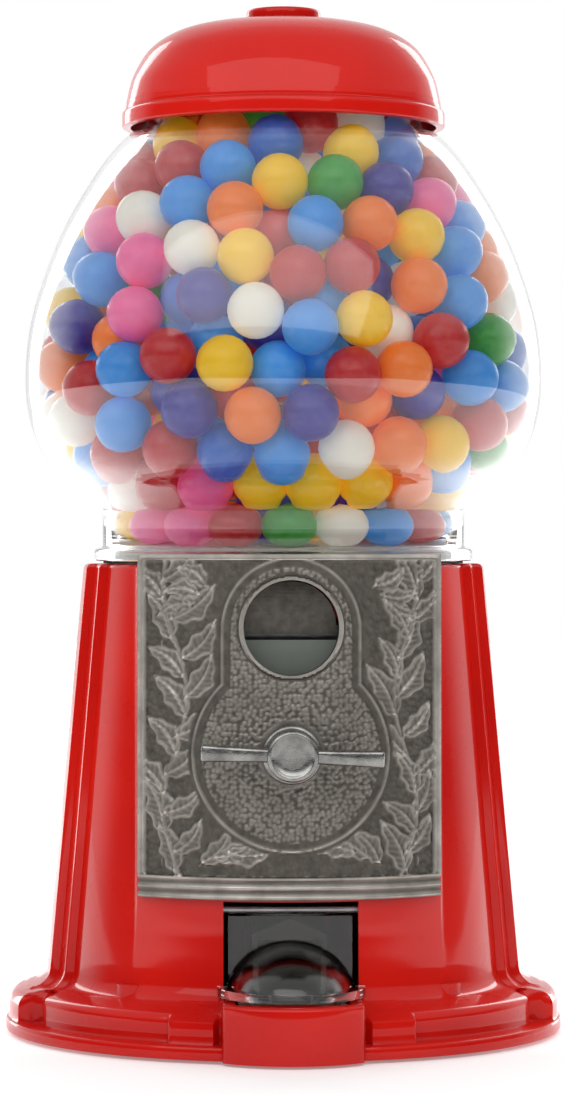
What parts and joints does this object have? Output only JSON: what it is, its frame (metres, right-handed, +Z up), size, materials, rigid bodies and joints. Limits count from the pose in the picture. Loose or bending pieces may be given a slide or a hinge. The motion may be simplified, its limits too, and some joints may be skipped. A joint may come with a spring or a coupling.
{
  "type": "gumball machine",
  "caption": "Coin-operated gumball machine: red die-cast base with stepped sides, curved faceplate and handle, glass globe, dished lid, geared dispensing wheel and a hinged clear chute flap.",
  "frame": {"origin": "on the floor, under the middle of the outline seen from above", "axes": "+Z up, the front with handle and chute faces -Y, +X to the right seen from the front"},
  "size_m": [0.1592, 0.1668, 0.2925],
  "materials": {
    "red_enamel": "gloss red enamel over die-cast metal",
    "pewter": "dark antiqued pewter plating with worn bright edges",
    "bright_metal": "bright nickel plating, lightly handled",
    "steel": "plain zinc-plated steel",
    "glass": "clear pressed glass",
    "clear_plastic": "lightly smoked clear plastic",
    "white_plastic": "moulded white plastic",
    "grey_plastic": "moulded pale grey plastic",
    "black_plastic": "moulded black plastic",
    "rubber": "black rubber"
  },
  "bodies": {
    "cabinet": {"base_casting": "red_enamel", "bottom_plate": "black_plastic", "bottom_screw_1": "steel", "bottom_screw_2": "steel", "bottom_screw_3": "steel", "bottom_screw_4": "steel", "foot_pad_1": "rubber", "foot_pad_2": "rubber", "foot_pad_3": "rubber", "foot_pad_4": "rubber", "globe": "glass", "globe_gasket": "rubber", "centre_rod": "steel", "rod_nut": "steel", "cutoff_guard": "steel", "gear_bridge": "steel", "bridge_screw_1": "steel", "bridge_screw_2": "steel", "faceplate": "pewter", "coin_lip": "grey_plastic", "coin_dish": "pewter", "mechanism_plate": "steel", "mechanism_screw_1": "steel", "mechanism_screw_2": "steel", "mechanism_screw_3": "steel", "mechanism_screw_4": "steel", "shaft_collar": "bright_metal", "pawl_pin": "steel", "gumball_chute": "grey_plastic", "flap_pin": "steel"},
    "lid": {"lid": "red_enamel", "lid_gasket": "rubber"},
    "knob": {"lid_knob": "red_enamel"},
    "crank": {"handle": "bright_metal", "handle_shaft": "steel", "coin_wheel": "steel", "ratchet_wheel": "steel", "pinion": "white_plastic", "shaft_clip": "steel"},
    "dispenser": {"gumball_wheel": "white_plastic", "drive_gear": "white_plastic"},
    "pawl": {"pawl": "steel", "pawl_spring": "steel"},
    "flap": {"flap": "clear_plastic"},
    "coin_plug": {"coin_plug": "black_plastic"}
  },
  "joints": [
    {"name": "lid_lift", "type": "slide", "parent": "cabinet", "child": "lid", "axis": [0, 0, 1], "range_m": [0, 0.06]},
    {"name": "knob_turn", "type": "hinge", "parent": "lid", "child": "knob", "pos_m": [0, 0.0038, 0.2925], "axis": [0, 0, 1], "continuous": true},
    {"name": "handle_turn", "type": "hinge", "parent": "cabinet", "child": "crank", "pos_m": [0, 0.0038, 0.0823], "axis": [0, 1, 0], "continuous": true},
    {"name": "wheel_turn", "type": "hinge", "parent": "cabinet", "child": "dispenser", "pos_m": [0, 0.0038, 0.121], "axis": [0, 0, 1], "continuous": true},
    {"name": "pawl_swing", "type": "hinge", "parent": "cabinet", "child": "pawl", "pos_m": [0.021, -0.042, 0.0913], "axis": [0, 1, 0], "range_deg": [0, 12], "stiffness_Nm_per_rad": 0.02, "springref_deg": -17.19},
    {"name": "flap_swing", "type": "hinge", "parent": "cabinet", "child": "flap", "pos_m": [0, -0.04918, 0.0395], "axis": [-1, 0, 0], "range_deg": [0, 65]},
    {"name": "plug_pull", "type": "slide", "parent": "cabinet", "child": "coin_plug", "axis": [0, 0, -1], "range_m": [0, 0.012]}
  ],
  "couplings": [
    {"joint": "wheel_turn", "follows": "handle_turn", "ratio": 0.25}
  ]
}
